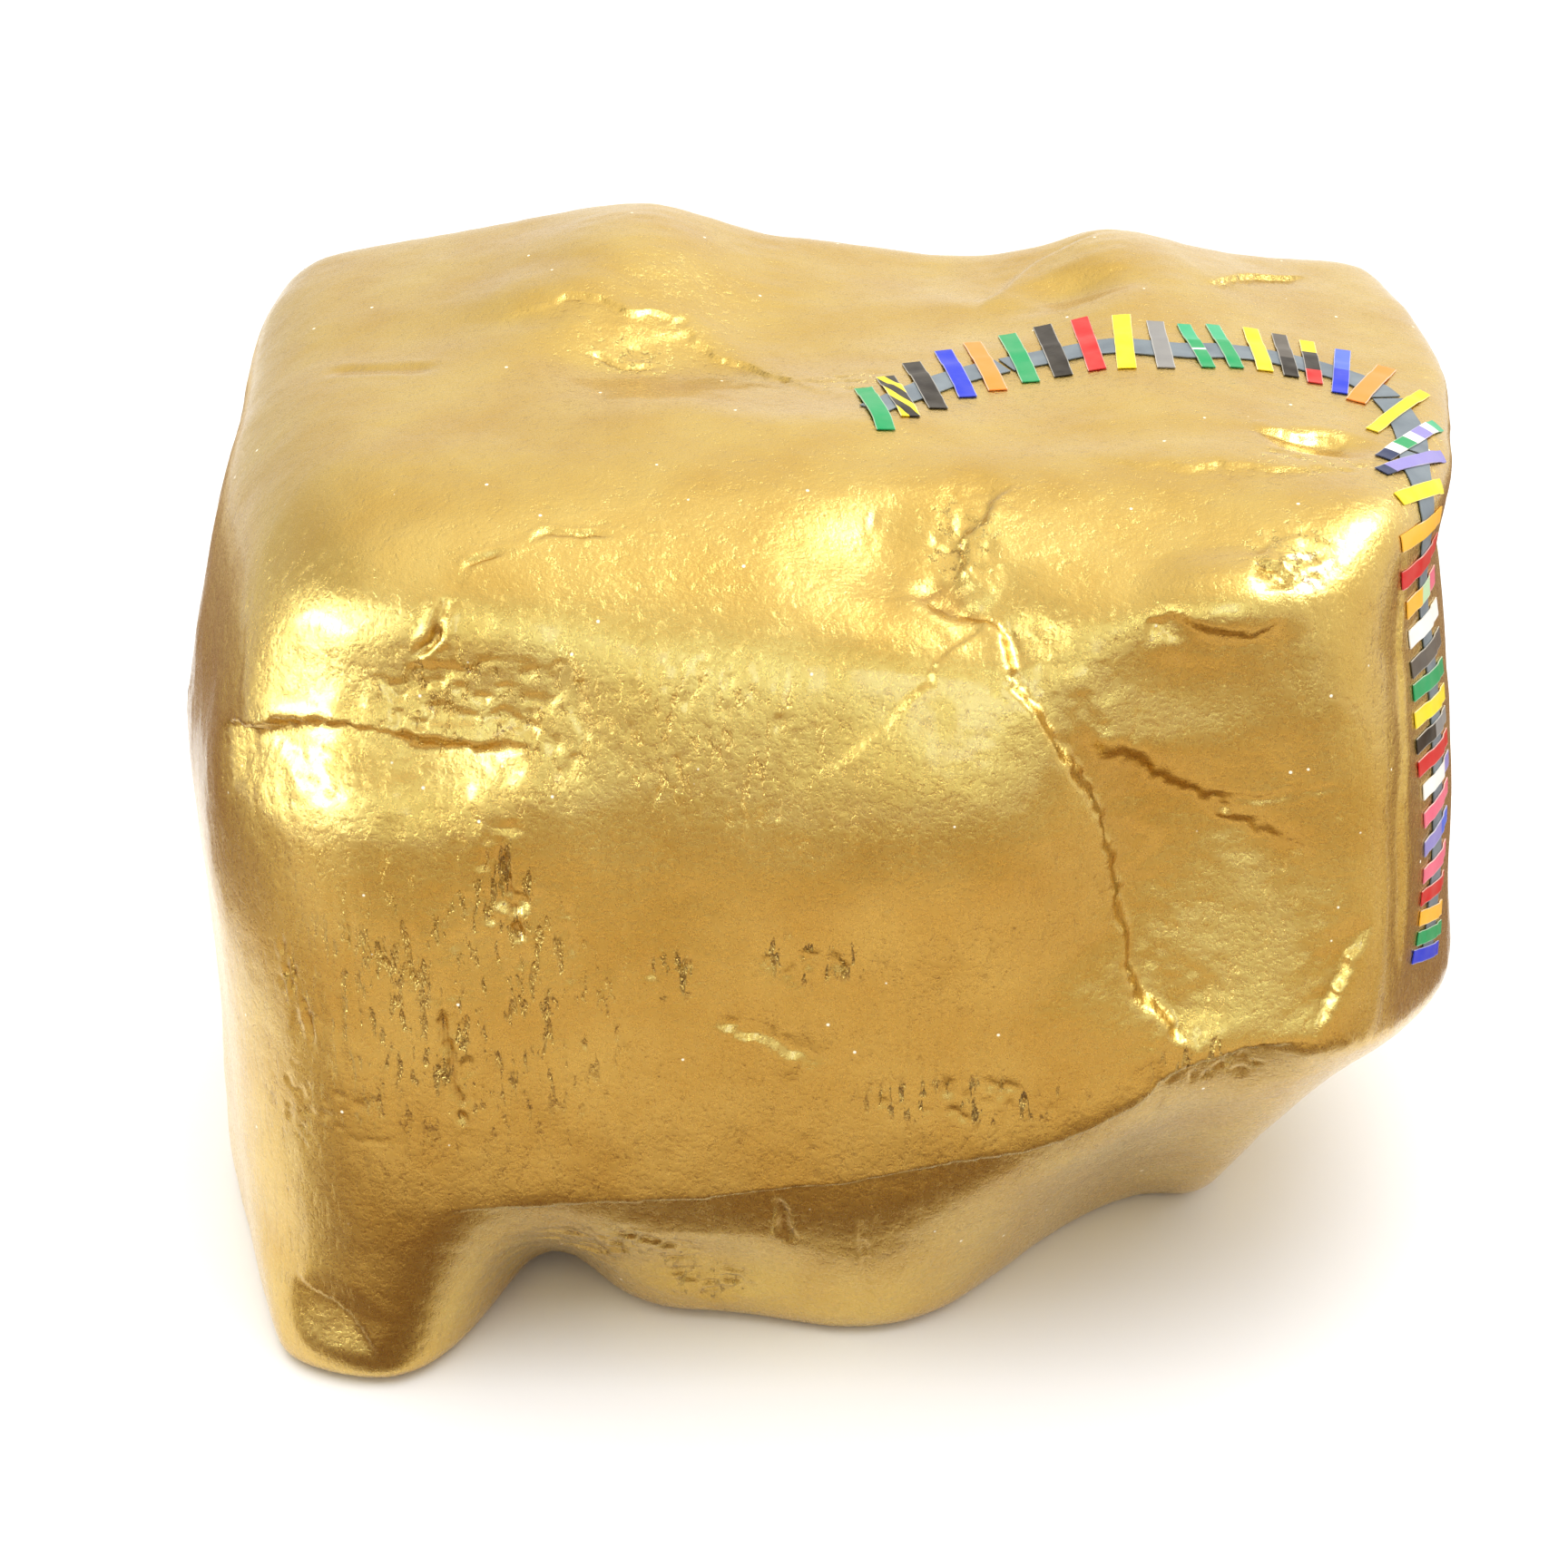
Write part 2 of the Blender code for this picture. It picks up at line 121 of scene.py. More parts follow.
gold_block = copied("gold_block", "gold_block_carved")
rounder = gold_block.modifiers.new("rounder", "SUBSURF")
rounder.levels = rounder.render_levels = 2
even = gold_block.modifiers.new("even", "REMESH")
even.mode = "VOXEL"
even.voxel_size = VOXEL
even.adaptivity = 0.0
fair = gold_block.modifiers.new("fair", "SMOOTH")
fair.factor = 0.5
fair.iterations = 6
baked(gold_block)

mesh = gold_block.data
place = read(mesh, "co")
normal = read(mesh, "normal")
cut = np.zeros(len(place))        # how far the surface is moved outward
rough = np.zeros(len(place))      # how torn it is, 0 to 1
# painted_shade_depth: how deep a spot lies in a mark, which the gold paint turns into painted shade
painted_shade_depth = np.zeros(len(place))     # how deep it lies in a mark, in millimetres

# the rasped surface is never quite even
cut += 0.45 * MM * lumps(place, (0.024, 0.024, 0.030), 1)
cut += 0.16 * MM * lumps(place, (0.008, 0.008, 0.011), 2)
cut += 0.05 * MM * lumps(place, (0.003, 0.003, 0.004), 3)

# every mark is laid out over places shifted by this, so that none runs quite straight
wander = np.stack([lumps(place, (0.005,) * 3, seed) for seed in (4, 5, 6)], axis=1)
wander += 0.5 * np.stack([lumps(place, (0.0017,) * 3, seed) for seed in (7, 8, 9)], axis=1)


def beside(path, reach, ragged):
    """Vertices within reach of a path: which, how far to its left, and their share of its length."""
    stops = np.array([on_block(share) for share in path])
    low = stops.min(axis=0) - reach
    high = stops.max(axis=0) + reach
    near = np.nonzero(np.all((place > low) & (place < high), axis=1))[0]
    spot = place[near] + wander[near] * ragged
    runs = np.linalg.norm(np.diff(stops, axis=0), axis=1)
    gone = np.concatenate(((0.0,), np.cumsum(runs)))
    best = np.full(len(near), np.inf)
    left = np.zeros(len(near))
    share = np.zeros(len(near))
    for start, end, run, before in zip(stops[:-1], stops[1:], runs, gone):
        heading = (end - start) / run
        step = np.clip((spot - start) @ heading, 0.0, run)
        away = spot - start - step[:, None] * heading
        distance = np.linalg.norm(away, axis=1)
        closer = distance < best
        side = np.sign(np.einsum("ij,ij->i", np.cross(normal[near], heading), away))
        best = np.where(closer, distance, best)
        left = np.where(closer, side * distance, left)
        share = np.where(closer, (before + step) / gone[-1], share)
    return near, left, share


def tapered(share, ends):
    """1 along a mark and 0 at both its ends."""
    return ease(share / ends) * ease((1.0 - share) / ends)


BURR = 0.22               # height of the burr beside a groove, as a share of the groove's depth
BURR_PLACE = 1.9          # how far out the burr stands, in widths of the groove
BURR_SPREAD = 0.8         # how broad it is, in widths of the groove
# the share below sets how much of a ledge's cut goes into the painted shade
LEDGE_SHADE = 0.15        # how much of the cut below a ledge counts as sunken


def groove(path, width, depth, ragged=0.4, ends=0.25):
    """A cut or a split: a V with a slightly raised burr on both sides."""
    near, left, share = beside(path, 6.0 * width * MM, ragged * MM)
    across = left / (width * MM)
    burr = BURR * np.exp(-((np.abs(across) - BURR_PLACE) / BURR_SPREAD) ** 2)
    shape = -np.exp(-across ** 2) + burr
    cut[near] += depth * MM * shape * tapered(share, ends)
    painted_shade_depth[near] -= depth * shape * tapered(share, ends)


def ledge(path, proud, sunk, above, below, edge=0.35, ragged=0.5, ends=0.2):
    """A step: the surface stands proud to the left of the path and is cut back to its right."""
    near, left, share = beside(path, 3.0 * max(above, below) * MM, ragged * MM)
    step = 0.5 + 0.5 * np.tanh(left / (edge * MM))
    shape = proud * step * np.exp(-np.maximum(left, 0.0) / (above * MM))
    shape = shape - sunk * (1.0 - step) * np.exp(-(np.minimum(left, 0.0) / (below * MM)) ** 2)
    cut[near] += MM * shape * tapered(share, ends)
    painted_shade_depth[near] += LEDGE_SHADE * np.maximum(-shape, 0.0) * tapered(share, ends)


def hollow(middle, reach, depth):
    """A shallow dish, or a swelling where the depth is negative."""
    away = np.linalg.norm((place - on_block(middle)) / (np.array(reach) * MM), axis=1)
    cut[:] -= depth * MM * np.clip(1.0 - away * away, 0.0, 1.0) ** 2


PATCH_FADE = 0.5          # torn and scored patches fade out over this share of their reach
FLAKE_EDGE = 0.25         # how softly a torn flake ends; smaller is crisper
FLAKE_DEPTH = 0.42        # how deep a flake goes, as a share of the patch's depth
FLAKE_RELIEF = 0.18       # how uneven its floor is, as the same share
FLAKE_FINE = 0.4          # size of that unevenness, as a share of the flake
# the share below sets how much of a torn patch's depth goes into the painted shade
FLAKE_SHADE = 0.5         # how much of a torn patch's depth counts as sunken
SCRATCH_LENGTH = 14.0     # how long a scratch is, in spacings


def torn(middle, reach, grain, depth, seed, floor=0.1):
    """Grain torn out in flakes, longest the way the grain runs."""
    away = np.linalg.norm((place - on_block(middle)) / (np.array(reach) * MM), axis=1)
    near = np.nonzero(away < 1.0)[0]
    spot = place[near] + 0.6 * MM * wander[near]
    flakes = lumps(spot, np.array(grain) * MM, seed)
    relief = lumps(spot, np.array(grain) * MM * FLAKE_FINE, seed + 1)
    flakes = ease((flakes - floor) / FLAKE_EDGE) * (FLAKE_DEPTH + FLAKE_RELIEF * relief)
    fade = ease((1.0 - away[near]) / PATCH_FADE)
    cut[near] -= depth * MM * flakes * fade
    painted_shade_depth[near] += FLAKE_SHADE * depth * flakes * fade
    rough[near] = np.maximum(rough[near], fade * min(depth, 1.0))


def scored(middle, reach, spacing, depth, seed, along=2):
    """Fine parallel scratches left by a rasp or a saw, running up (2) or across (0)."""
    away = np.linalg.norm((place - on_block(middle)) / (np.array(reach) * MM), axis=1)
    near = np.nonzero(away < 1.0)[0]
    grain = np.full(3, spacing * MM)
    grain[along] *= SCRATCH_LENGTH
    lines = lumps(place[near], grain, seed)
    fade = ease((1.0 - away[near]) / PATCH_FADE)
    cut[near] -= depth * MM * ease((lines - 0.15) / 0.5) * fade
    rough[near] = np.maximum(rough[near], 2.0 * depth * fade)


# the crisp lip where the front was undercut, rising to the right
ledge(((-0.28, -0.495, 0.215), (-0.207, -0.491, 0.223), (-0.096, -0.493, 0.233), (0.014, -0.494, 0.251),
       (0.091, -0.493, 0.274), (0.142, -0.491, 0.286), (0.186, -0.489, 0.308), (0.217, -0.485, 0.332),
       (0.241, -0.486, 0.370), (0.291, -0.481, 0.396), (0.340, -0.484, 0.410)),
      proud=0.5, sunk=2.0, above=2.5, below=9.0, edge=0.30, ragged=0.30, ends=0.10)

# the long split edge up the front, left side proud
ledge(((0.262, -0.480, 0.392), (0.229, -0.473, 0.434), (0.212, -0.467, 0.471), (0.203, -0.456, 0.554),
       (0.184, -0.456, 0.640), (0.154, -0.457, 0.706), (0.129, -0.444, 0.764), (0.106, -0.396, 0.811),
       (0.090, -0.390, 0.820)),
      proud=1.7, sunk=2.6, above=13.0, below=9.0, edge=0.8, ragged=1.4, ends=0.10)

# the swelling to its left, which takes the light
hollow((0.090, -0.480, 0.600), (36.0, 26.0, 30.0), -1.7)

# a second, softer edge across the hollow at the right, and a faint arc above it
ledge(((0.160, -0.450, 0.735), (0.191, -0.447, 0.701), (0.229, -0.441, 0.671), (0.267, -0.441, 0.643),
       (0.299, -0.446, 0.617), (0.340, -0.455, 0.592)),
      proud=0.5, sunk=1.5, above=8.0, below=9.0, edge=1.5, ragged=1.6, ends=0.3)
groove(((0.235, -0.441, 0.652), (0.290, -0.441, 0.645), (0.350, -0.445, 0.666)), 0.6, 0.35)

# the arched split at the upper left
groove(((-0.273, -0.418, 0.784), (-0.262, -0.412, 0.800), (-0.247, -0.398, 0.838)), 0.8, 1.9, 1.0)
groove(((-0.247, -0.398, 0.838), (-0.234, -0.371, 0.859), (-0.188, -0.339, 0.873),
        (-0.134, -0.333, 0.871)), 0.6, 0.9, 0.8)

# the torn patch below it, with a gouge cut along its foot
torn((-0.245, -0.435, 0.748), (20.0, 14.0, 11.0), (3.4, 3.0, 1.5), 0.9, 21, 0.15)
torn((-0.180, -0.440, 0.735), (9.0, 12.0, 13.0), (1.5, 1.5, 3.6), 0.7, 24, 0.15)
ledge(((-0.430, -0.330, 0.682), (-0.400, -0.380, 0.700), (-0.345, -0.422, 0.722), (-0.284, -0.433, 0.718),
       (-0.240, -0.440, 0.712), (-0.185, -0.446, 0.700)),
      proud=1.7, sunk=3.0, above=12.0, below=13.0, edge=0.5, ragged=1.3, ends=0.30)

# splits and pits that follow the upright grain at the left
groove(((-0.217, -0.470, 0.630), (-0.214, -0.477, 0.580), (-0.208, -0.484, 0.490)), 0.7, 1.5, 1.0)
torn((-0.214, -0.477, 0.580), (6.0, 8.0, 13.0), (1.7, 1.7, 3.2), 2.0, 27)
torn((-0.240, -0.480, 0.540), (10.0, 8.0, 12.0), (1.5, 1.5, 3.4), 0.7, 29, 0.25)
groove(((-0.267, -0.484, 0.480), (-0.258, -0.491, 0.383), (-0.252, -0.494, 0.290)), 0.55, 1.2, 0.9)
torn((-0.258, -0.490, 0.390), (4.5, 8.0, 19.0), (1.4, 1.4, 3.4), 0.9, 31, 0.15)
groove(((-0.378, -0.445, 0.510), (-0.372, -0.455, 0.440)), 0.6, 0.9, 0.8)
groove(((-0.362, -0.465, 0.450), (-0.358, -0.467, 0.395)), 0.6, 0.8, 0.8)
torn((-0.368, -0.455, 0.445), (5.0, 9.0, 10.0), (1.4, 1.4, 2.6), 0.7, 33)
groove(((-0.176, -0.478, 0.570), (-0.174, -0.484, 0.460)), 0.5, 0.6, 0.9)
scored((-0.250, -0.480, 0.460), (34.0, 16.0, 34.0), 0.9, 0.26, 41)
scored((-0.355, -0.470, 0.325), (16.0, 18.0, 11.0), 0.9, 0.28, 42, along=0)
scored((-0.075, -0.450, 0.720), (20.0, 14.0, 17.0), 0.8, 0.26, 43)

# clusters of small pits over the middle of the front
torn((-0.106, -0.484, 0.485), (5.0, 8.0, 6.0), (1.3, 1.3, 2.0), 1.2, 51, 0.2)
torn((-0.010, -0.486, 0.505), (12.0, 8.0, 6.0), (1.3, 1.3, 2.0), 1.1, 53, 0.3)
torn((0.100, -0.492, 0.350), (22.0, 8.0, 5.5), (1.4, 1.4, 1.7), 1.0, 55, 0.3)
ledge(((-0.006, -0.491, 0.380), (-0.045, -0.489, 0.415), (-0.081, -0.488, 0.435)),
      proud=0.5, sunk=0.6, above=4.0, below=4.0, ragged=1.6)

# below the lip: gouge cuts down the lobe and rough cutting under its left side
groove(((-0.033, -0.486, 0.225), (-0.025, -0.463, 0.155)), 0.9, 0.9, 0.8)
torn((-0.028, -0.475, 0.190), (4.5, 6.0, 8.0), (1.6, 1.6, 2.4), 0.8, 61)
groove(((0.026, -0.479, 0.210), (0.033, -0.450, 0.120), (0.037, -0.428, 0.054)), 0.7, 0.5, 0.6)
hollow((-0.090, -0.440, 0.110), (22.0, 16.0, 12.0), 1.6)
torn((-0.150, -0.430, 0.135), (18.0, 14.0, 10.0), (4.5, 3.0, 1.8), 1.3, 63, 0.0)
torn((-0.085, -0.410, 0.075), (10.0, 10.0, 7.0), (4.0, 3.0, 1.6), 1.1, 65, 0.0)

# the foot: a dished thumb cut with a curl of lifted grain
hollow((-0.360, -0.485, 0.085), (11.0, 9.0, 9.0), 1.8)
ledge(((-0.392, -0.455, 0.120), (-0.360, -0.485, 0.100), (-0.338, -0.497, 0.075),
       (-0.325, -0.500, 0.040)),
      proud=0.9, sunk=0.7, above=2.0, below=3.0, edge=0.5)

# the upright ridge and the worn corner low at the right
ledge(((0.378, -0.448, 0.530), (0.368, -0.455, 0.508), (0.356, -0.469, 0.472), (0.334, -0.485, 0.400)),
      proud=0.5, sunk=1.3, above=7.0, below=6.0, edge=0.5, ragged=1.6, ends=0.4)
scored((0.270, -0.480, 0.375), (13.0, 12.0, 9.0), 1.1, 0.35, 71)

# the nose at the upper right and the chipped corner above it
hollow((0.265, -0.415, 0.845), (18.0, 13.0, 9.0), -2.6)
hollow((0.235, -0.445, 0.770), (26.0, 18.0, 14.0), 1.8)
hollow((0.265, -0.465, 0.590), (38.0, 32.0, 38.0), 3.0)
ledge(((0.207, -0.432, 0.800), (0.206, -0.418, 0.824), (0.225, -0.420, 0.826), (0.250, -0.432, 0.815),
       (0.275, -0.436, 0.812), (0.300, -0.430, 0.822)),
      proud=0.7, sunk=0.9, above=4.0, below=4.0, edge=0.6, ragged=0.8)
ledge(((0.282, -0.385, 0.868), (0.296, -0.388, 0.860), (0.301, -0.400, 0.842)),
      proud=0.8, sunk=1.2, above=3.5, below=4.0, edge=0.5, ragged=1.0)
torn((0.305, -0.375, 0.868), (9.0, 9.0, 7.0), (3.2, 2.6, 2.2), 0.8, 73, 0.15)

# the scoop beside it, with a crumpled ridge running down into a sharp valley
groove(((0.060, -0.350, 0.835), (0.083, -0.376, 0.825), (0.106, -0.396, 0.811)), 2.6, 1.2, 1.2)
ledge(((0.132, -0.255, 0.889), (0.112, -0.275, 0.882), (0.095, -0.320, 0.862), (0.083, -0.376, 0.825)),
      proud=1.0, sunk=1.2, above=4.5, below=6.0, edge=0.8, ragged=1.6, ends=0.35)
torn((0.090, -0.320, 0.860), (8.0, 13.0, 9.0), (2.2, 2.2, 2.6), 0.7, 77, 0.2)
hollow((0.035, -0.340, 0.875), (20.0, 14.0, 11.0), 0.9)
groove(((0.030, -0.340, 0.850), (0.032, -0.300, 0.868), (0.034, -0.275, 0.878)), 0.5, 0.5, 0.3)
groove(((0.045, -0.345, 0.850), (0.046, -0.310, 0.868)), 0.4, 0.4, 0.3)

# the nook by the right-hand corner of the top, and the fold in front of it
hollow((0.350, -0.160, 0.905), (11.0, 6.5, 8.0), 1.6)
ledge(((0.300, -0.130, 0.906), (0.340, -0.135, 0.906), (0.375, -0.145, 0.902)),
      proud=0.5, sunk=0.8, above=4.0, below=4.0, edge=0.9, ragged=1.4)
ledge(((0.160, -0.200, 0.902), (0.240, -0.222, 0.902), (0.330, -0.232, 0.902), (0.385, -0.215, 0.895)),
      proud=0.3, sunk=0.5, above=8.0, below=7.0, edge=1.6, ragged=2.2, ends=0.4)
hollow((0.250, -0.150, 0.905), (26.0, 8.0, 10.0), 0.4)
torn((0.335, -0.210, 0.900), (12.0, 7.0, 6.0), (2.6, 1.8, 2.0), 0.6, 79, 0.2)

# the top: broad hollows either side of a rise, as the gouge left them
hollow((-0.130, 0.040, 0.930), (24.0, 15.0, 14.0), 1.7)
hollow((-0.215, 0.170, 0.950), (20.0, 12.0, 14.0), -1.3)
hollow((-0.330, 0.080, 0.925), (26.0, 18.0, 14.0), 0.9)
hollow((0.100, 0.170, 0.925), (26.0, 13.0, 12.0), 0.9)
hollow((-0.020, -0.080, 0.910), (22.0, 11.0, 10.0), 0.8)

# the top: a saddle ridge, a pitted hollow behind it and a long shallow gouge at the left
ledge(((-0.260, 0.110, 0.945), (-0.180, 0.140, 0.945), (-0.107, 0.116, 0.937), (-0.055, 0.050, 0.915),
       (-0.020, 0.000, 0.910), (0.025, -0.030, 0.913)),
      proud=0.5, sunk=0.7, above=7.0, below=7.0, edge=2.6, ragged=2.0)
groove(((-0.175, 0.050, 0.930), (-0.150, 0.036, 0.927), (-0.120, 0.045, 0.930)), 0.7, 0.8, 1.0)
torn((-0.140, 0.050, 0.930), (10.0, 8.0, 8.0), (3.0, 1.8, 2.0), 0.5, 81, 0.25)
groove(((-0.375, 0.039, 0.912), (-0.325, 0.020, 0.920), (-0.277, 0.003, 0.927)), 1.6, 0.5, 0.3)
torn((0.020, 0.010, 0.912), (10.0, 7.0, 6.0), (3.0, 1.6, 2.0), 0.5, 83, 0.1)

# the raised shelf at the right of the top
ledge(((0.233, 0.390, 0.965), (0.173, 0.349, 0.941), (0.150, 0.300, 0.934), (0.120, 0.220, 0.928)),
      proud=0.8, sunk=0.8, above=5.0, below=6.0, edge=0.9)
hollow((0.205, 0.250, 0.945), (14.0, 7.0, 9.0), 0.9)

# the tight upright corner at the right
ledge(((0.388, -0.300, 0.870), (0.391, -0.370, 0.720), (0.393, -0.405, 0.615), (0.400, -0.420, 0.480),
       (0.404, -0.423, 0.425)),
      proud=0.6, sunk=0.6, above=3.0, below=3.0, edge=1.2, ragged=0.4)

# back and ends: the same hand, fewer marks
groove(((0.300, 0.490, 0.820), (0.295, 0.485, 0.700), (0.305, 0.480, 0.560)), 0.8, 1.3, 1.0)
groove(((-0.340, 0.480, 0.480), (-0.335, 0.475, 0.330), (-0.345, 0.470, 0.220)), 0.7, 1.1, 1.0)
ledge(((-0.420, 0.490, 0.760), (-0.300, 0.495, 0.790), (-0.150, 0.490, 0.775), (-0.020, 0.470, 0.800)),
      proud=0.5, sunk=1.2, above=6.0, below=9.0, edge=0.5, ragged=1.2, ends=0.3)
torn((-0.495, 0.180, 0.600), (9.0, 12.0, 16.0), (1.7, 1.7, 3.4), 1.2, 98, 0.15)
torn((0.470, 0.300, 0.620), (9.0, 12.0, 14.0), (1.7, 1.7, 3.4), 1.2, 100, 0.15)
scored((-0.500, 0.000, 0.450), (14.0, 52.0, 60.0), 1.3, 0.15, 91)
scored((0.450, 0.250, 0.400), (22.0, 40.0, 50.0), 1.3, 0.15, 92)
scored((0.000, 0.500, 0.500), (100.0, 14.0, 60.0), 1.3, 0.15, 93)
torn((-0.220, 0.490, 0.620), (12.0, 9.0, 15.0), (2.0, 2.0, 3.6), 1.0, 94)
torn((0.160, 0.480, 0.420), (20.0, 9.0, 12.0), (2.4, 2.0, 2.2), 0.8, 96, 0.2)
groove(((-0.050, 0.465, 0.780), (-0.045, 0.450, 0.620), (-0.055, 0.450, 0.500)), 0.7, 0.9, 1.0)
groove(((0.470, 0.100, 0.700), (0.485, 0.110, 0.560), (0.480, 0.100, 0.480)), 0.6, 0.7, 0.9)
groove(((-0.495, -0.050, 0.700), (-0.490, -0.040, 0.520), (-0.490, -0.060, 0.420)), 0.6, 0.8, 0.9)
ledge(((0.300, 0.470, 0.300), (0.180, 0.480, 0.340), (0.050, 0.470, 0.330), (-0.100, 0.455, 0.360)),
      proud=0.7, sunk=1.0, above=5.0, below=7.0, edge=0.7, ragged=0.9)
ledge(((0.300, 0.250, 0.948), (0.350, 0.330, 0.940), (0.400, 0.360, 0.935)),
      proud=0.6, sunk=0.6, above=4.0, below=4.0, edge=0.9)

cut *= ease((place[:, 2] - block_low[2]) / STAND)
worked = place + normal * cut[:, None]
mesh.vertices.foreach_set("co", worked.astype(np.float32).ravel())
mesh.update()
mesh.shade_smooth()

# the paint needs how deep each spot lies in a mark, where it is painted darker and browner as shade, and
# how torn it is
for name, values in (("depth", painted_shade_depth), ("torn", rough)):
    shares = np.clip(values, 0.0, 1.0).astype(np.float32)
    mesh.attributes.new(name, "FLOAT", "POINT").data.foreach_set("value", shares)


def colour(code):
    """An sRGB hex colour as a linear one."""
    parts = [int(code[at:at + 2], 16) / 255.0 for at in (0, 2, 4)]
    return (*[((part + 0.055) / 1.055) ** 2.4 if part > 0.04045 else part / 12.92 for part in parts], 1.0)


def add(material, kind, inputs=(), **settings):
    """Adds a node: its settings, then its inputs, each a value or another node's output."""
    tree = material.node_tree
    made = tree.nodes.new(kind)
    for name, value in settings.items():
        setattr(made, name, value)
    for name, value in dict(inputs).items():
        if isinstance(value, bpy.types.NodeSocket):
            tree.links.new(value, made.inputs[name])
        else:
            made.inputs[name].default_value = value
    return made


# a colour mix node's sockets go by number, because its float and vector sockets share their names
MIX, MIX_A, MIX_B, MIXED = 0, 6, 7, 2
# and so do a shader mix node's: the share of the second, the first and the second
SHARE, FIRST, SECOND = 0, 1, 2


def material_named(name):
    """A new material with an empty node tree."""
    made = bpy.data.materials.new(name)
    made.use_nodes = True
    made.node_tree.nodes.clear()
    return made


# Gold metallic spray paint: metal flakes in clear lacquer. To the eye a warm satin metal, finely
# pebbled by the spray, with specks of dust; deep in the marks it is painted darker and browner, as shade.
FLAKE_GRAIN = 0.0010      # the pebbling of the sprayed coat; finer in truth, this is what shows
SPRAY_GRAIN = 0.016       # drifts of heavier and lighter spray
FIBRE = 0.0016            # torn wood fibres under the paint, four times as long upright as across
DUST_SPACING = 0.0075     # from one speck of dust to the next

gold = material_named("gold_spray_paint")
where = add(gold, "ShaderNodeTexCoord").outputs["Object"]
drift = add(gold, "ShaderNodeTexNoise", {"Vector": where, "Scale": 1.0 / SPRAY_GRAIN, "Detail": 3.0})
flake = add(gold, "ShaderNodeTexNoise",
            {"Vector": where, "Scale": 1.0 / FLAKE_GRAIN, "Detail": 4.0, "Roughness": 0.7})
peel = add(gold, "ShaderNodeTexNoise", {"Vector": where, "Scale": 1.0 / (4.0 * FLAKE_GRAIN),
                                        "Detail": 1.0})
# painted shade: the deeper a spot lies in a mark, the more its gold is mixed towards dark brown
deep = add(gold, "ShaderNodeAttribute", attribute_name="depth")
shade = add(gold, "ShaderNodeMapRange",
            {"Value": deep.outputs["Fac"], "From Min": 0.25, "From Max": 1.2, "To Max": 0.55})
tint = add(gold, "ShaderNodeValToRGB", {"Fac": drift.outputs["Fac"]})
tint.color_ramp.elements[0].position = 0.30
tint.color_ramp.elements[0].color = colour("D2AC54")
tint.color_ramp.elements[1].position = 0.72
tint.color_ramp.elements[1].color = colour("DEBE68")
painted_shade_gold = add(gold, "ShaderNodeMix", {MIX: shade.outputs["Result"], MIX_A: tint.outputs["Color"],
                                      MIX_B: colour("A8752A")}, data_type="RGBA")
gloss = add(gold, "ShaderNodeMapRange",
            {"Value": flake.outputs["Fac"], "From Min": 0.3, "From Max": 0.7,
             "To Min": 0.24, "To Max": 0.31})
grain = add(gold, "ShaderNodeBump", {"Height": flake.outputs["Fac"], "Strength": 1.0,
                                     "Distance": 0.17 * MM})
pebble = add(gold, "ShaderNodeBump", {"Height": peel.outputs["Fac"], "Strength": 0.6,
                                      "Distance": 0.20 * MM, "Normal": grain.outputs["Normal"]})
upright = add(gold, "ShaderNodeMapping", {"Vector": where, "Scale": (1.0, 1.0, 0.25)})
fibre = add(gold, "ShaderNodeTexNoise", {"Vector": upright.outputs["Vector"], "Scale": 1.0 / FIBRE,
                                         "Detail": 4.0, "Roughness": 0.65})
nick = add(gold, "ShaderNodeMapRange", {"Value": fibre.outputs["Fac"], "From Min": 0.56, "From Max": 0.70,
                                        "To Min": 1.0, "To Max": 0.0})
ragged = add(gold, "ShaderNodeAttribute", attribute_name="torn")
bite = add(gold, "ShaderNodeMapRange", {"Value": ragged.outputs["Fac"], "To Min": 0.22, "To Max": 1.0})
splinter = add(gold, "ShaderNodeBump",
               {"Height": nick.outputs["Result"], "Strength": bite.outputs["Result"],
                "Distance": 0.7 * MM, "Normal": pebble.outputs["Normal"]})
coat = add(gold, "ShaderNodeBsdfPrincipled",
           {"Base Color": painted_shade_gold.outputs[MIXED], "Metallic": 1.0, "Roughness": gloss.outputs["Result"],
            "Normal": splinter.outputs["Normal"], "Coat Weight": 0.45, "Coat Roughness": 0.14})
speck = add(gold, "ShaderNodeTexVoronoi", {"Vector": where, "Scale": 1.0 / DUST_SPACING})
dusty = add(gold, "ShaderNodeMapRange",
            {"Value": speck.outputs["Distance"], "From Min": 0.030, "From Max": 0.045,
             "To Min": 1.0, "To Max": 0.0})
dust = add(gold, "ShaderNodeBsdfPrincipled", {"Base Color": colour("FFF6DC"), "Roughness": 0.8})
both = add(gold, "ShaderNodeMixShader", {SHARE: dusty.outputs["Result"], FIRST: coat.outputs["BSDF"],
                                         SECOND: dust.outputs["BSDF"]})
add(gold, "ShaderNodeOutputMaterial", {"Surface": both.outputs["Shader"]})

mesh.materials.append(gold)
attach(gold_block, "root")
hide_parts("gold_block")


def surface_of(mesh):
    """A mesh made ready for finding the nearest point on it."""
    shape = bmesh.new()
    shape.from_mesh(mesh)
    found = BVHTree.FromBMesh(shape)
    shape.free()
    return found


cad_surface = surface_of(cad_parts["gold_block"].data)
fine_surface = surface_of(gold_block.data)


# ---------------------------------------------------------------------------------------------------
# The grey tape. Lengths of narrow grey PVC tape laid end to end over the top, round the corner and
# down the right-hand side, pressed down by hand so that it follows the block.
# ---------------------------------------------------------------------------------------------------

# the CAD keeps its pieces clear of each other; here the tape lies on the paint and the strips on the
# tape: heights off the block in the CAD, and off the carved block
CAD_HEIGHTS = np.array((0.50, 0.75, 1.25, 1.50)) * MM
LAID_HEIGHTS = np.array((0.10, 0.30, 0.38, 0.58)) * MM
TAPE_STEP = 0.0012        # spacing of the mesh along a tape
TAPE_CREASE = 50.0        # degrees; a tape's cut edges are sharper than this, its bends are not


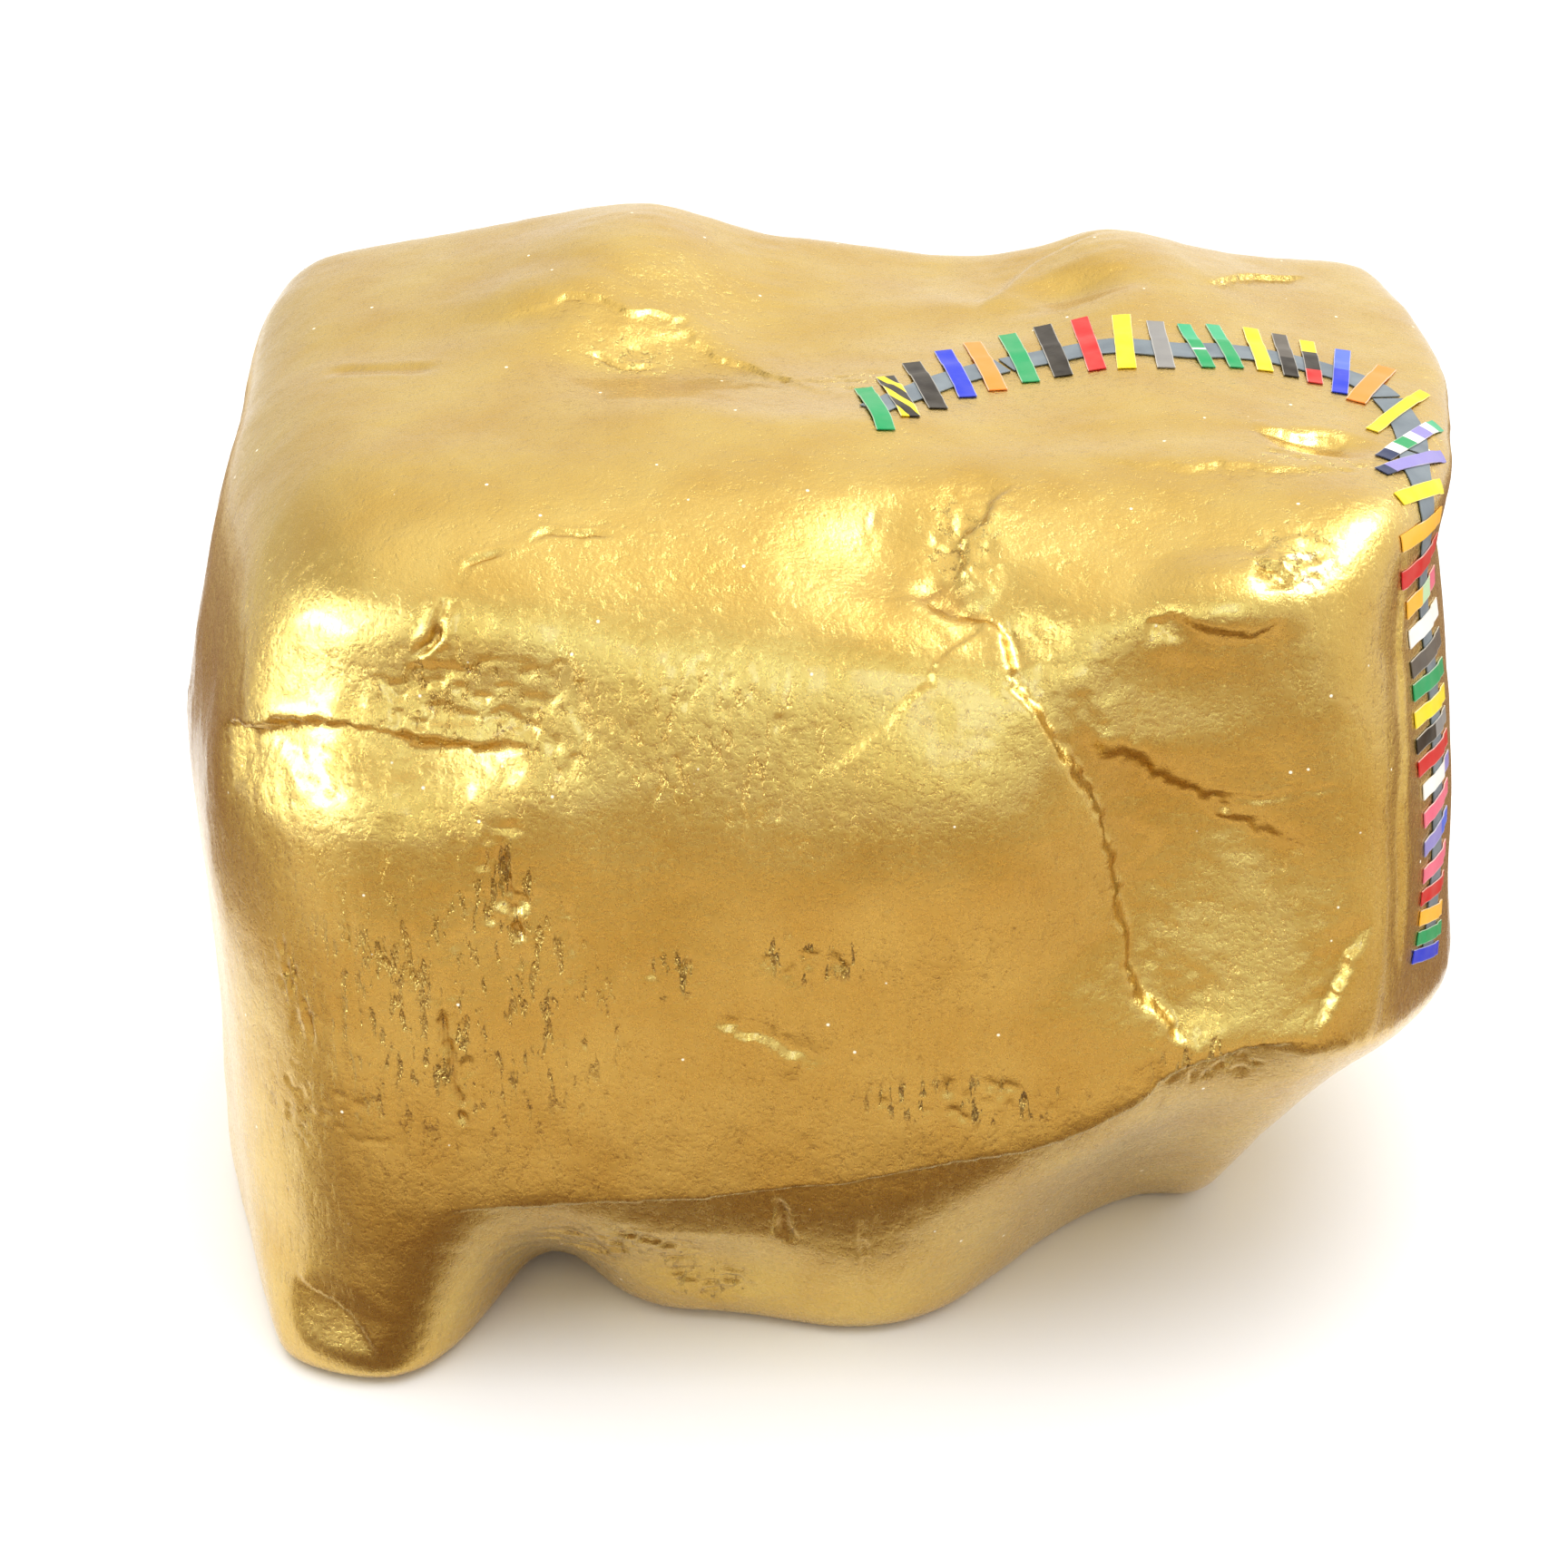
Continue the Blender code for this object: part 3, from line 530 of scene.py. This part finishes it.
def laid(node, name, sides):
    """A CAD tape cut finer and laid on the carved block, with its length and width as its UVs."""
    piece = copied(node, name)
    shape = bmesh.new()
    shape.from_mesh(piece.data)
    lift = shape.verts.layers.float.new("lift")
    for vert in shape.verts:
        height = cad_surface.find_nearest(vert.co)[3]
        vert[lift] = np.interp(height, CAD_HEIGHTS, LAID_HEIGHTS)
    bmesh.ops.join_triangles(shape, faces=shape.faces[:], angle_face_threshold=1.2,
                             angle_shape_threshold=1.2)
    for _ in range(2):
        longer = [edge for edge in shape.edges if edge.calc_length() > TAPE_STEP]
        bmesh.ops.subdivide_edges(shape, edges=longer, cuts=1, use_grid_fill=True)
    points = np.array([vert.co[:] for vert in shape.verts])
    middle = points.mean(axis=0)
    spread = np.linalg.eigh(np.cov((points - middle).T))[1]
    length_way = spread[:, 2] * np.sign(spread[:, 2] @ np.array(sides))
    width_way = spread[:, 1]
    run = (points - middle) @ length_way
    wide = (points - middle) @ width_way
    uv = shape.loops.layers.uv.new("UVMap")
    shape.verts.index_update()
    for face in shape.faces:
        for loop in face.loops:
            at = loop.vert.index
            loop[uv].uv = ((run[at] - run.min()) / np.ptp(run), (wide[at] - wide.min()) / np.ptp(wide))
    for vert in shape.verts:
        spot, out, _, _ = fine_surface.find_nearest(vert.co)
        vert.co = spot + out * vert[lift]
    shape.to_mesh(piece.data)
    shape.free()
    piece.data.shade_smooth()
    piece.data.set_sharp_from_angle(angle=math.radians(TAPE_CREASE))
    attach(piece, "root")
    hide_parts(node)
    return piece


# Grey PVC tape: calendered film with a fine satin grain. Cool grey and evenly dull, a little paler
# where the film has stretched.
FILM_GRAIN = 0.0006       # the satin grain; finer in truth, this is what shows
STRETCH_GRAIN = 0.006     # patches where the film has stretched

grey = material_named("grey_pvc_tape")
where = add(grey, "ShaderNodeTexCoord").outputs["Object"]
stretch = add(grey, "ShaderNodeTexNoise", {"Vector": where, "Scale": 1.0 / STRETCH_GRAIN, "Detail": 3.0})
film = add(grey, "ShaderNodeTexNoise", {"Vector": where, "Scale": 1.0 / FILM_GRAIN, "Detail": 2.0})
tint = add(grey, "ShaderNodeValToRGB", {"Fac": stretch.outputs["Fac"]})
tint.color_ramp.elements[0].position = 0.3
tint.color_ramp.elements[0].color = colour("646F78")
tint.color_ramp.elements[1].position = 0.7
tint.color_ramp.elements[1].color = colour("7B868D")
bump = add(grey, "ShaderNodeBump", {"Height": film.outputs["Fac"], "Strength": 0.4, "Distance": 0.05 * MM})
skin = add(grey, "ShaderNodeBsdfPrincipled",
           {"Base Color": tint.outputs["Color"], "Roughness": 0.42, "Normal": bump.outputs["Normal"]})
add(grey, "ShaderNodeOutputMaterial", {"Surface": skin.outputs["BSDF"]})

for node in sorted(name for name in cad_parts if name.startswith("grey_tape")):
    tape = laid(node, node + "_pressed", (1.0, 0.0, -1.0))
    tape.data.materials.append(grey)


# ---------------------------------------------------------------------------------------------------
# The strips. Slices snipped across rolls of coloured PVC tape and stuck over the grey tape like the
# sleepers of a railway, each pressed down over the tape's edges onto the block.
# ---------------------------------------------------------------------------------------------------

GREEN, GREEN_WORN = "0E9A5A", "3CAE7C"
BLACK, BLACK_WORN = "1F160C", "59524A"
BLUE, BLUE_WORN = "0B2EC8", "4A68DC"
ORANGE, RED, YELLOW, GREY = "F48E30", "CC1A1A", "F4DA0E", "8A8886"
AMBER, WHITE, LILAC, PINK, NAVY = "F5B52E", "F2F0EA", "8F86C8", "E86A84", "1D2C58"

# each strip's colours from its front end to its back end: (share of the length where it starts, colour)
BANDS = {
    1: ((0.0, GREEN),), 2: ((0.0, YELLOW),), 3: ((0.0, BLACK),), 4: ((0.0, BLUE),), 5: ((0.0, ORANGE),),
    6: ((0.0, GREEN),), 7: ((0.0, BLACK),), 8: ((0.0, RED),), 9: ((0.0, YELLOW),), 10: ((0.0, GREY),),
    11: ((0.0, GREEN), (0.38, WHITE), (0.42, GREEN), (0.62, GREEN_WORN)),
    12: ((0.0, GREEN), (0.62, GREEN_WORN)), 13: ((0.0, YELLOW),),
    14: ((0.0, BLACK), (0.4, BLACK_WORN)), 15: ((0.0, RED), (0.27, BLACK), (0.72, YELLOW)),
    16: ((0.0, BLUE), (0.5, BLUE_WORN)), 17: ((0.0, ORANGE),), 18: ((0.0, YELLOW),),
    19: ((0.0, NAVY), (0.14, WHITE), (0.28, GREEN), (0.45, WHITE), (0.58, LILAC), (0.74, WHITE),
         (0.86, GREEN_WORN)),
    20: ((0.0, NAVY), (0.12, LILAC)), 21: ((0.0, YELLOW),), 22: ((0.0, AMBER),), 23: ((0.0, RED),),
    24: ((0.0, AMBER), (0.4, "BFE0B0"), (0.7, PINK)), 25: ((0.0, WHITE),), 26: ((0.0, BLACK_WORN),),
    27: ((0.0, GREEN),), 28: ((0.0, YELLOW),), 29: ((0.0, BLACK), (0.5, GREY)), 30: ((0.0, RED),),
    31: ((0.0, WHITE), (0.7, LILAC)), 32: ((0.0, PINK),), 33: ((0.0, LILAC), (0.6, BLUE_WORN)),
    34: ((0.0, PINK),), 35: ((0.0, RED),), 36: ((0.0, AMBER),), 37: ((0.0, GREEN),), 38: ((0.0, BLUE),),
}
HAZARD_STRIP = 2
HAZARD_BANDS = 2.0        # slanted black bands along a strip
HAZARD_SLANT = 0.5        # how far a band leans over the width, as a share of the strip's length
HAZARD_GAP = 0.45         # share of each band's spacing that stays yellow
SLIT_EDGE = 0.06          # share of the width that shows pale along each cut edge
HANDLING = 0.004          # patches where handling has dulled a strip

for node in sorted(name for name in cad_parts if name.startswith("strip_")):
    number = int(node.split("_")[1])
    bands = BANDS[number]
    # Coloured PVC tape: glossy plasticised film gone satin with handling. Strong flat colour, a paler
    # line along both snipped edges, faint wrinkles and a soft sheen.
    film = material_named("pvc_tape_" + node)
    where = add(film, "ShaderNodeTexCoord")
    wear = add(film, "ShaderNodeTexNoise", {"Vector": where.outputs["Object"], "Scale": 1.0 / HANDLING,
                                            "Detail": 3.0})
    satin = add(film, "ShaderNodeTexNoise", {"Vector": where.outputs["Object"], "Scale": 1.0 / FILM_GRAIN,
                                             "Detail": 2.0})
    across = add(film, "ShaderNodeSeparateXYZ", {"Vector": where.outputs["UV"]})
    banding = add(film, "ShaderNodeValToRGB", {"Fac": across.outputs["X"]})
    banding.color_ramp.interpolation = "CONSTANT"
    banding.color_ramp.elements[0].color = colour(bands[0][1])
    banding.color_ramp.elements.remove(banding.color_ramp.elements[1])
    for start, code in bands[1:]:
        banding.color_ramp.elements.new(start).color = colour(code)
    hue = banding.outputs["Color"]
    if number == HAZARD_STRIP:
        slant = add(film, "ShaderNodeMath",
                    {0: across.outputs["Y"], 1: HAZARD_SLANT, 2: across.outputs["X"]},
                    operation="MULTIPLY_ADD")
        count = add(film, "ShaderNodeMath", {0: slant.outputs["Value"], 1: HAZARD_BANDS},
                    operation="MULTIPLY")
        turn = add(film, "ShaderNodeMath", {0: count.outputs["Value"]}, operation="FRACT")
        dark = add(film, "ShaderNodeMath", {0: turn.outputs["Value"], 1: HAZARD_GAP},
                   operation="GREATER_THAN")
        hue = add(film, "ShaderNodeMix", {MIX: dark.outputs["Value"], MIX_A: hue, MIX_B: colour(BLACK)},
                  data_type="RGBA").outputs[MIXED]
    off_middle = add(film, "ShaderNodeMath", {0: across.outputs["Y"], 1: 0.5}, operation="SUBTRACT")
    to_edge = add(film, "ShaderNodeMath", {0: off_middle.outputs["Value"]}, operation="ABSOLUTE")
    slit = add(film, "ShaderNodeMapRange",
               {"Value": to_edge.outputs["Value"], "From Min": 0.5 - SLIT_EDGE, "From Max": 0.5,
                "To Max": 0.55})
    pale = add(film, "ShaderNodeMix", {MIX: slit.outputs["Result"], MIX_A: hue, MIX_B: colour("F4F0E6")},
               data_type="RGBA")
    faded = add(film, "ShaderNodeMapRange", {"Value": wear.outputs["Fac"], "From Min": 0.3,
                                             "From Max": 0.8, "To Max": 0.08})
    worn = add(film, "ShaderNodeMix", {MIX: faded.outputs["Result"], MIX_A: pale.outputs[MIXED],
                                       MIX_B: colour("E9E2D0")}, data_type="RGBA")
    dull = add(film, "ShaderNodeMapRange", {"Value": wear.outputs["Fac"], "To Min": 0.30, "To Max": 0.45})
    bump = add(film, "ShaderNodeBump", {"Height": satin.outputs["Fac"], "Strength": 0.35,
                                        "Distance": 0.05 * MM})
    skin = add(film, "ShaderNodeBsdfPrincipled",
               {"Base Color": worn.outputs[MIXED], "Roughness": dull.outputs["Result"],
                "Specular IOR Level": 0.2, "Normal": bump.outputs["Normal"]})
    add(film, "ShaderNodeOutputMaterial", {"Surface": skin.outputs["BSDF"]})

    strip = laid(node, node + "_pressed", (0.0, 1.0, 0.0))
    strip.data.materials.append(film)


# ---------------------------------------------------------------------------------------------------
# The room. A plain white tabletop in a pale room, with a ceiling light and daylight from a long window
# at the left, a small one in front and a square one at the right. Brown cards lie low around the block
# to stand for the dark of the room beyond the table and, next to the block, as a painted shadow of it.
# ---------------------------------------------------------------------------------------------------

scene = bpy.context.scene
scene.view_settings.view_transform = "Standard"

table_mesh = bpy.data.meshes.new("tabletop")
top = bmesh.new()
bmesh.ops.create_grid(top, x_segments=1, y_segments=1, size=4.0)
top.to_mesh(table_mesh)
top.free()
tabletop = bpy.data.objects.new("tabletop", table_mesh)
scene.collection.objects.link(tabletop)
white = material_named("white_tabletop")
paint = add(white, "ShaderNodeBsdfPrincipled", {"Base Color": colour("F6F8FD"), "Roughness": 0.7})
add(white, "ShaderNodeOutputMaterial", {"Surface": paint.outputs["BSDF"]})
table_mesh.materials.append(white)

# Matt brown card, out of sight, for the gold to mirror: dull and dark where the room would be, with a
# paler band just short of the block, which it mirrors low down where the white table would show, and dark
# again right next to the block as a painted shadow of the block on the table.
brown = material_named("brown_card")
spread = add(brown, "ShaderNodeSeparateXYZ",
             {"Vector": add(brown, "ShaderNodeTexCoord").outputs["Generated"]})
fade = add(brown, "ShaderNodeValToRGB", {"Fac": spread.outputs["Y"]})
fade.color_ramp.elements[0].position = 0.76
fade.color_ramp.elements[0].color = colour("7A5C40")
fade.color_ramp.elements[1].position = 0.95
fade.color_ramp.elements[1].color = colour("6E5034")
for start in (0.83, 0.90):
    fade.color_ramp.elements.new(start).color = colour("DCCAAC")
board = add(brown, "ShaderNodeBsdfPrincipled", {"Base Color": fade.outputs["Color"], "Roughness": 0.9})
add(brown, "ShaderNodeOutputMaterial", {"Surface": board.outputs["BSDF"]})

for name, width, depth, middle in (("card_in_front", 1.4, 0.9, (0.0, -0.530, 0.001)),
                                   ("card_at_left", 0.6, 0.8, (-0.530, 0.30, 0.001)),
                                   ("card_at_right", 0.6, 0.8, (0.470, 0.35, 0.001))):
    card_mesh = bpy.data.meshes.new(name)
    sheet = bmesh.new()
    bmesh.ops.create_grid(sheet, x_segments=1, y_segments=1, size=0.5)
    sheet.to_mesh(card_mesh)
    sheet.free()
    card = bpy.data.objects.new(name, card_mesh)
    card.scale = (width, depth, 1.0)
    card.location = middle
    scene.collection.objects.link(card)
    card_mesh.materials.append(brown)
    card.visible_camera = False
    card.visible_diffuse = False
    card.visible_shadow = False

sky = bpy.data.worlds.new("pale_room")
sky.use_nodes = True
sky.node_tree.nodes.clear()
ways = add(sky, "ShaderNodeTexCoord")
axes = add(sky, "ShaderNodeSeparateXYZ", {"Vector": ways.outputs["Generated"]})
front = add(sky, "ShaderNodeMapRange", {"Value": axes.outputs["Y"], "From Min": -0.9, "From Max": 0.6,
                                        "To Min": 0.70, "To Max": 1.08})
up = add(sky, "ShaderNodeMapRange", {"Value": axes.outputs["Z"], "From Min": 0.0, "From Max": 0.8,
                                     "To Min": 1.15, "To Max": 1.05})
left = add(sky, "ShaderNodeMapRange", {"Value": axes.outputs["X"], "From Min": -0.9, "From Max": 0.0,
                                       "To Min": 0.60, "To Max": 1.0})
level = add(sky, "ShaderNodeMath", {0: front.outputs["Result"], 1: up.outputs["Result"]},
            operation="MULTIPLY")
light = add(sky, "ShaderNodeMath", {0: level.outputs["Value"], 1: left.outputs["Result"]},
            operation="MULTIPLY")
glow = add(sky, "ShaderNodeBackground", {"Color": colour("FFFBF4"), "Strength": light.outputs["Value"]})
add(sky, "ShaderNodeOutputWorld", {"Surface": glow.outputs["Background"]})
scene.world = sky


BLOCK_MIDDLE = Vector((0.0, 0.0, 0.09))


def window(name, azimuth, elevation, distance, width, height, power, code):
    """A soft rectangular light, aimed at the middle of the block; azimuth 0 is in front, 90 right."""
    lamp = bpy.data.lights.new(name, "AREA")
    lamp.shape = "RECTANGLE"
    lamp.size = width
    lamp.size_y = height
    lamp.energy = power
    lamp.color = colour(code)[:3]
    made = bpy.data.objects.new(name, lamp)
    turn, rise = math.radians(azimuth), math.radians(elevation)
    way = Vector((math.sin(turn) * math.cos(rise), -math.cos(turn) * math.cos(rise), math.sin(rise)))
    made.location = BLOCK_MIDDLE + way * distance
    made.rotation_euler = way.to_track_quat("Z", "Y").to_euler()
    scene.collection.objects.link(made)
    return made


window("ceiling", azimuth=0.0, elevation=82.0, distance=1.6, width=2.0, height=2.0, power=4.5,
       code="FFF9EE")
panes = (window("left_window", azimuth=-58.0, elevation=20.0, distance=1.4, width=1.10, height=0.16,
                power=17.0, code="D2E2FF"),
         window("front_window", azimuth=6.0, elevation=22.0, distance=1.4, width=0.34, height=0.50,
                power=3.4, code="B4D4F0"),
         window("right_window", azimuth=84.0, elevation=50.0, distance=1.4, width=0.62, height=0.62,
                power=22.0, code="D2E2FF"))
for pane in panes:
    pane.visible_diffuse = False
fill = window("fill", azimuth=0.0, elevation=88.0, distance=1.8, width=2.4, height=2.4, power=38.0,
              code="FFFFFF")
fill.visible_glossy = False

# the camera: square to the front, looking down on the block from about half a metre
CAMERA_RISE = 28.0        # degrees above the tabletop
CAMERA_DISTANCE = 0.496

camera = bpy.data.cameras.new("camera")
camera.lens = 59.8
camera.sensor_width = 36.0
eye = bpy.data.objects.new("camera", camera)
scene.collection.objects.link(eye)
look_at = Vector((-0.0069, 0.0, 0.0806))
rise = math.radians(CAMERA_RISE)
away = Vector((0.0, -math.cos(rise), math.sin(rise)))
eye.location = look_at + away * CAMERA_DISTANCE
eye.rotation_euler = away.to_track_quat("Z", "Y").to_euler()
scene.camera = eye
